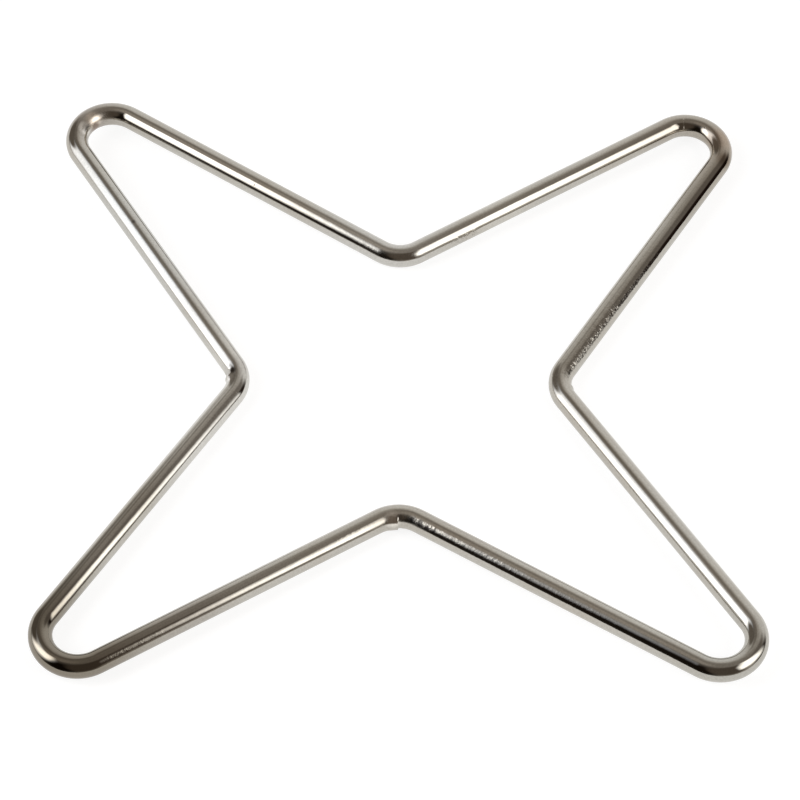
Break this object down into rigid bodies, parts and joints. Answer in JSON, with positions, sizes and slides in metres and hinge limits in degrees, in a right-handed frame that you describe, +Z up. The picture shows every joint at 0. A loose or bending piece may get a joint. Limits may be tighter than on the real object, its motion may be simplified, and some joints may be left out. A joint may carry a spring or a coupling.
{
  "type": "stove ring",
  "caption": "Star-shaped pot support bent from round plated wire and welded into a closed loop; it lies over a hob burner so that a small pot stands steady.",
  "frame": {"origin": "centre of the star's box, on the plane that the inner bends stand on", "axes": "+Z up, +X to the right and +Y to the back, with an arm of the star on each diagonal between X and Y"},
  "size_m": [0.15, 0.15, 0.0075],
  "materials": {
    "plated_wire": "bright plated, with light pitting beside the bends"
  },
  "bodies": {
    "root": {"star_wire": "plated_wire"}
  },
  "joints": []
}
